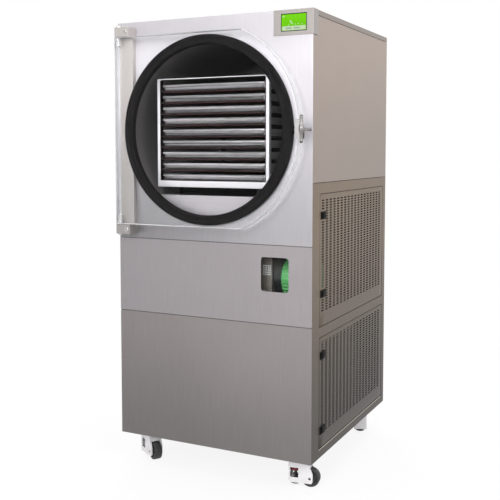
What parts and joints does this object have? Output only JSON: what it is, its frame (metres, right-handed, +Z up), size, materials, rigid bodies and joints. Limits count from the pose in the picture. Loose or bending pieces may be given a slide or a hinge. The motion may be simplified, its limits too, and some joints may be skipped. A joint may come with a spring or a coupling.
{
  "type": "freeze dryer",
  "caption": "Tall steel freeze dryer on casters with a round vacuum chamber, clear hinged door, tray rack, touch screen and perforated vent doors.",
  "frame": {"origin": "on the floor, under the middle of the whole bounding box", "axes": "+Z up, -Y out of the front, +X to the right as seen from the front"},
  "size_m": [0.7384, 0.8508, 1.5557],
  "materials": {
    "brushed_steel": "brushed",
    "satin_steel": "satin",
    "polished_steel": "polished",
    "frame_steel": "satin",
    "black_rubber": "matte",
    "black_plastic": "matte",
    "clear_acrylic": "gloss",
    "copper": "satin",
    "black_paint": "satin",
    "green_paint": "satin",
    "screen": "gloss",
    "ivory_paint": "satin",
    "tyre_black": "matte",
    "red_plastic": "matte",
    "aluminium": "satin",
    "grey_paint": "satin"
  },
  "bodies": {
    "cabinet": {"base_frame": "frame_steel", "top_cover": "satin_steel", "upper_front_plate": "brushed_steel", "middle_front_panel": "brushed_steel", "lower_front_panel": "brushed_steel", "right_upper_panel": "satin_steel", "right_door_frame": "satin_steel", "left_upper_panel": "satin_steel", "left_lower_panel": "satin_steel", "back_panel": "satin_steel", "sight_window": "clear_acrylic", "vacuum_chamber": "polished_steel", "door_gasket": "black_rubber", "hinge_bar": "satin_steel", "upper_hinge_pin": "polished_steel", "lower_hinge_pin": "polished_steel", "chamber_floor_plate": "polished_steel", "tray_rack": "polished_steel", "tray_1": "polished_steel", "tray_2": "polished_steel", "tray_3": "polished_steel", "tray_4": "polished_steel", "tray_5": "polished_steel", "tray_6": "polished_steel", "tray_7": "polished_steel", "tray_8": "polished_steel", "tray_9": "polished_steel", "hmi_bezel": "satin_steel", "hmi_screen": "screen", "control_box": "grey_paint", "power_inlet": "black_plastic", "evaporator_coil": "copper", "compressor": "black_paint", "condenser_radiator": "aluminium", "fan_shroud": "black_plastic", "vacuum_pump": "black_paint", "pump_motor": "green_paint", "vacuum_pipe": "polished_steel"},
    "chamber_door": {"acrylic_door": "clear_acrylic", "door_strike": "polished_steel"},
    "handle": {"t_handle": "polished_steel"},
    "upper_vent": {"upper_vent_door": "satin_steel"},
    "upper_latch_1": {"upper_vent_latch_1": "black_plastic"},
    "upper_latch_2": {"upper_vent_latch_2": "black_plastic"},
    "lower_vent": {"lower_vent_door": "satin_steel"},
    "lower_latch_1": {"lower_vent_latch_1": "black_plastic"},
    "lower_latch_2": {"lower_vent_latch_2": "black_plastic"},
    "fan": {"condenser_fan": "black_plastic"},
    "front_left_caster": {"front_left_caster_housing": "ivory_paint"},
    "front_left_wheel": {"front_left_caster_wheel": "tyre_black"},
    "front_left_foot": {"front_left_levelling_foot": "red_plastic"},
    "front_right_caster": {"front_right_caster_housing": "ivory_paint"},
    "front_right_wheel": {"front_right_caster_wheel": "tyre_black"},
    "front_right_foot": {"front_right_levelling_foot": "red_plastic"},
    "rear_left_caster": {"rear_left_caster_housing": "ivory_paint"},
    "rear_left_wheel": {"rear_left_caster_wheel": "tyre_black"},
    "rear_left_foot": {"rear_left_levelling_foot": "red_plastic"},
    "rear_right_caster": {"rear_right_caster_housing": "ivory_paint"},
    "rear_right_wheel": {"rear_right_caster_wheel": "tyre_black"},
    "rear_right_foot": {"rear_right_levelling_foot": "red_plastic"}
  },
  "joints": [
    {"name": "chamber_door_hinge", "type": "hinge", "parent": "cabinet", "child": "chamber_door", "pos_m": [-0.34015, -0.3842, 1.18073], "axis": [0, 0, -1], "range_deg": [0, 110]},
    {"name": "handle_turn", "type": "hinge", "parent": "cabinet", "child": "handle", "pos_m": [0.35385, -0.4169, 1.18073], "axis": [0, 1, 0], "range_deg": [0, 90]},
    {"name": "upper_vent_hinge", "type": "hinge", "parent": "cabinet", "child": "upper_vent", "pos_m": [0.35585, 0.3776, 0.75823], "axis": [0, 0, 1], "range_deg": [0, 100]},
    {"name": "upper_latch_1_slide", "type": "slide", "parent": "upper_vent", "child": "upper_latch_1", "axis": [0, -1, 0], "range_m": [0, 0.006]},
    {"name": "upper_latch_2_slide", "type": "slide", "parent": "upper_vent", "child": "upper_latch_2", "axis": [0, -1, 0], "range_m": [0, 0.006]},
    {"name": "lower_vent_hinge", "type": "hinge", "parent": "cabinet", "child": "lower_vent", "pos_m": [0.35585, 0.3776, 0.32198], "axis": [0, 0, 1], "range_deg": [0, 100]},
    {"name": "lower_latch_1_slide", "type": "slide", "parent": "lower_vent", "child": "lower_latch_1", "axis": [0, -1, 0], "range_m": [0, 0.006]},
    {"name": "lower_latch_2_slide", "type": "slide", "parent": "lower_vent", "child": "lower_latch_2", "axis": [0, -1, 0], "range_m": [0, 0.006]},
    {"name": "fan_spin", "type": "hinge", "parent": "cabinet", "child": "fan", "pos_m": [0.24155, 0.0131, 0.28603], "axis": [1, 0, 0], "continuous": true},
    {"name": "front_left_swivel", "type": "hinge", "parent": "cabinet", "child": "front_left_caster", "pos_m": [-0.29915, -0.2629, 0.08973], "axis": [0, 0, 1], "continuous": true},
    {"name": "front_left_roll", "type": "hinge", "parent": "front_left_caster", "child": "front_left_wheel", "pos_m": [-0.27032, -0.28092, 0.03123], "axis": [0.5299, 0.848, 0], "continuous": true},
    {"name": "front_left_foot_slide", "type": "slide", "parent": "front_left_caster", "child": "front_left_foot", "axis": [0, 0, -1], "range_m": [0, 0.01]},
    {"name": "front_right_swivel", "type": "hinge", "parent": "cabinet", "child": "front_right_caster", "pos_m": [0.29285, -0.2629, 0.08973], "axis": [0, 0, 1], "continuous": true},
    {"name": "front_right_roll", "type": "hinge", "parent": "front_right_caster", "child": "front_right_wheel", "pos_m": [0.32633, -0.257, 0.03123], "axis": [-0.1736, 0.9848, 0], "continuous": true},
    {"name": "front_right_foot_slide", "type": "slide", "parent": "front_right_caster", "child": "front_right_foot", "axis": [0, 0, -1], "range_m": [0, 0.01]},
    {"name": "rear_left_swivel", "type": "hinge", "parent": "cabinet", "child": "rear_left_caster", "pos_m": [-0.29915, 0.3391, 0.08973], "axis": [0, 0, 1], "continuous": true},
    {"name": "rear_left_roll", "type": "hinge", "parent": "rear_left_caster", "child": "rear_left_wheel", "pos_m": [-0.30211, 0.30523, 0.03123], "axis": [0.9962, -0.0872, 0], "continuous": true},
    {"name": "rear_left_foot_slide", "type": "slide", "parent": "rear_left_caster", "child": "rear_left_foot", "axis": [0, 0, -1], "range_m": [0, 0.01]},
    {"name": "rear_right_swivel", "type": "hinge", "parent": "cabinet", "child": "rear_right_caster", "pos_m": [0.29285, 0.3391, 0.08973], "axis": [0, 0, 1], "continuous": true},
    {"name": "rear_right_roll", "type": "hinge", "parent": "rear_right_caster", "child": "rear_right_wheel", "pos_m": [0.27848, 0.36991, 0.03123], "axis": [-0.9063, -0.4226, 0], "continuous": true},
    {"name": "rear_right_foot_slide", "type": "slide", "parent": "rear_right_caster", "child": "rear_right_foot", "axis": [0, 0, -1], "range_m": [0, 0.01]}
  ]
}
